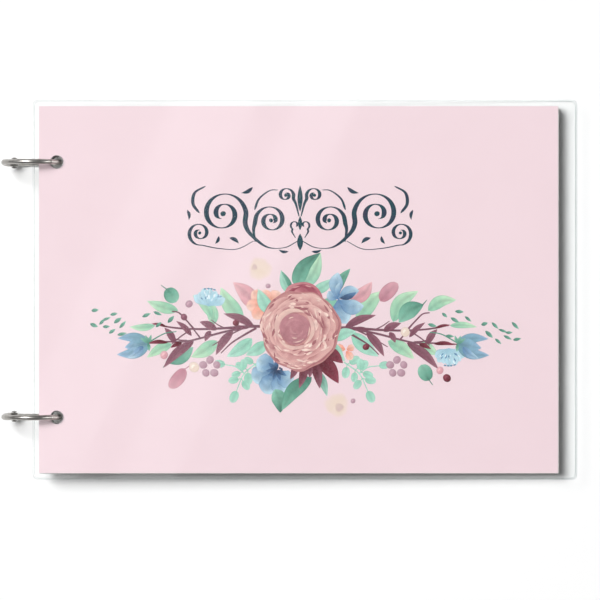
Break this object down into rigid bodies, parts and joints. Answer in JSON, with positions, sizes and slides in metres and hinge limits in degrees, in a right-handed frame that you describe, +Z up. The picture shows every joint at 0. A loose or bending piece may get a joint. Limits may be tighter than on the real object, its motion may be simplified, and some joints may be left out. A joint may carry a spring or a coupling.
{
  "type": "scrapbook album",
  "caption": "Landscape scrapbook album: punched white card leaves and a printed title page between clear covers, turning on hinged snap-open book rings.",
  "frame": {"origin": "on the surface the closed album lies on, at the middle of its footprint", "axes": "+X from the rings to the free edge of the pages, +Y to the top of the pages, +Z up from the surface; the closed album leans 1.9 degrees, because its rings are taller than its stack of sheets"},
  "size_m": [0.3298, 0.217, 0.035],
  "materials": {
    "clear_cover": "clear, glossy, flexible sheet",
    "printed_card": "smooth printed card, pale pink with a painted garland, white cut edges",
    "white_card": "uncoated white card",
    "ring_nickel": "bright nickel plate with fine scratches"
  },
  "bodies": {
    "back_cover": {"back_cover": "clear_cover"},
    "leaf_16": {"leaf_16": "white_card"},
    "leaf_15": {"leaf_15": "white_card"},
    "leaf_14": {"leaf_14": "white_card"},
    "leaf_13": {"leaf_13": "white_card"},
    "leaf_12": {"leaf_12": "white_card"},
    "leaf_11": {"leaf_11": "white_card"},
    "leaf_10": {"leaf_10": "white_card"},
    "leaf_09": {"leaf_09": "white_card"},
    "leaf_08": {"leaf_08": "white_card"},
    "leaf_07": {"leaf_07": "white_card"},
    "leaf_06": {"leaf_06": "white_card"},
    "leaf_05": {"leaf_05": "white_card"},
    "leaf_04": {"leaf_04": "white_card"},
    "leaf_03": {"leaf_03": "white_card"},
    "leaf_02": {"leaf_02": "white_card"},
    "leaf_01": {"leaf_01": "white_card"},
    "title_page": {"title_page": "printed_card"},
    "front_cover": {"front_cover": "clear_cover"},
    "upper_ring": {"upper_ring_base": "ring_nickel", "upper_ring_rivet": "ring_nickel"},
    "upper_gate": {"upper_ring_gate": "ring_nickel"},
    "lower_ring": {"lower_ring_base": "ring_nickel", "lower_ring_rivet": "ring_nickel"},
    "lower_gate": {"lower_ring_gate": "ring_nickel"}
  },
  "joints": [
    {"name": "leaf_16_turn", "type": "hinge", "parent": "back_cover", "child": "leaf_16", "pos_m": [-0.14738, 0, 0.0175], "axis": [0, 1, 0], "range_deg": [-180, 0]},
    {"name": "leaf_15_turn", "type": "hinge", "parent": "leaf_16", "child": "leaf_15", "pos_m": [-0.14738, 0, 0.0175], "axis": [0, 1, 0], "range_deg": [-180, 0]},
    {"name": "leaf_14_turn", "type": "hinge", "parent": "leaf_15", "child": "leaf_14", "pos_m": [-0.14738, 0, 0.0175], "axis": [0, 1, 0], "range_deg": [-180, 0]},
    {"name": "leaf_13_turn", "type": "hinge", "parent": "leaf_14", "child": "leaf_13", "pos_m": [-0.14738, 0, 0.0175], "axis": [0, 1, 0], "range_deg": [-180, 0]},
    {"name": "leaf_12_turn", "type": "hinge", "parent": "leaf_13", "child": "leaf_12", "pos_m": [-0.14738, 0, 0.0175], "axis": [0, 1, 0], "range_deg": [-180, 0]},
    {"name": "leaf_11_turn", "type": "hinge", "parent": "leaf_12", "child": "leaf_11", "pos_m": [-0.14738, 0, 0.0175], "axis": [0, 1, 0], "range_deg": [-180, 0]},
    {"name": "leaf_10_turn", "type": "hinge", "parent": "leaf_11", "child": "leaf_10", "pos_m": [-0.14738, 0, 0.0175], "axis": [0, 1, 0], "range_deg": [-180, 0]},
    {"name": "leaf_09_turn", "type": "hinge", "parent": "leaf_10", "child": "leaf_09", "pos_m": [-0.14738, 0, 0.0175], "axis": [0, 1, 0], "range_deg": [-180, 0]},
    {"name": "leaf_08_turn", "type": "hinge", "parent": "leaf_09", "child": "leaf_08", "pos_m": [-0.14738, 0, 0.0175], "axis": [0, 1, 0], "range_deg": [-180, 0]},
    {"name": "leaf_07_turn", "type": "hinge", "parent": "leaf_08", "child": "leaf_07", "pos_m": [-0.14738, 0, 0.0175], "axis": [0, 1, 0], "range_deg": [-180, 0]},
    {"name": "leaf_06_turn", "type": "hinge", "parent": "leaf_07", "child": "leaf_06", "pos_m": [-0.14738, 0, 0.0175], "axis": [0, 1, 0], "range_deg": [-180, 0]},
    {"name": "leaf_05_turn", "type": "hinge", "parent": "leaf_06", "child": "leaf_05", "pos_m": [-0.14738, 0, 0.0175], "axis": [0, 1, 0], "range_deg": [-180, 0]},
    {"name": "leaf_04_turn", "type": "hinge", "parent": "leaf_05", "child": "leaf_04", "pos_m": [-0.14738, 0, 0.0175], "axis": [0, 1, 0], "range_deg": [-180, 0]},
    {"name": "leaf_03_turn", "type": "hinge", "parent": "leaf_04", "child": "leaf_03", "pos_m": [-0.14738, 0, 0.0175], "axis": [0, 1, 0], "range_deg": [-180, 0]},
    {"name": "leaf_02_turn", "type": "hinge", "parent": "leaf_03", "child": "leaf_02", "pos_m": [-0.14738, 0, 0.0175], "axis": [0, 1, 0], "range_deg": [-180, 0]},
    {"name": "leaf_01_turn", "type": "hinge", "parent": "leaf_02", "child": "leaf_01", "pos_m": [-0.14738, 0, 0.0175], "axis": [0, 1, 0], "range_deg": [-180, 0]},
    {"name": "title_page_turn", "type": "hinge", "parent": "leaf_01", "child": "title_page", "pos_m": [-0.14738, 0, 0.0175], "axis": [0, 1, 0], "range_deg": [-180, 0]},
    {"name": "front_cover_turn", "type": "hinge", "parent": "title_page", "child": "front_cover", "pos_m": [-0.14738, 0, 0.0175], "axis": [0, 1, 0], "range_deg": [-180, 0]},
    {"name": "upper_ring_spin", "type": "hinge", "parent": "back_cover", "child": "upper_ring", "pos_m": [-0.14738, 0.073, 0.0175], "axis": [0, -1, 0], "range_deg": [-180, 90]},
    {"name": "upper_gate_swing", "type": "hinge", "parent": "upper_ring", "child": "upper_gate", "pos_m": [-0.15868, 0.073, 0.00617], "axis": [0, -1, 0], "range_deg": [0, 60]},
    {"name": "lower_ring_spin", "type": "hinge", "parent": "back_cover", "child": "lower_ring", "pos_m": [-0.14738, -0.073, 0.0175], "axis": [0, -1, 0], "range_deg": [-180, 90]},
    {"name": "lower_gate_swing", "type": "hinge", "parent": "lower_ring", "child": "lower_gate", "pos_m": [-0.15868, -0.073, 0.00617], "axis": [0, -1, 0], "range_deg": [0, 60]}
  ]
}
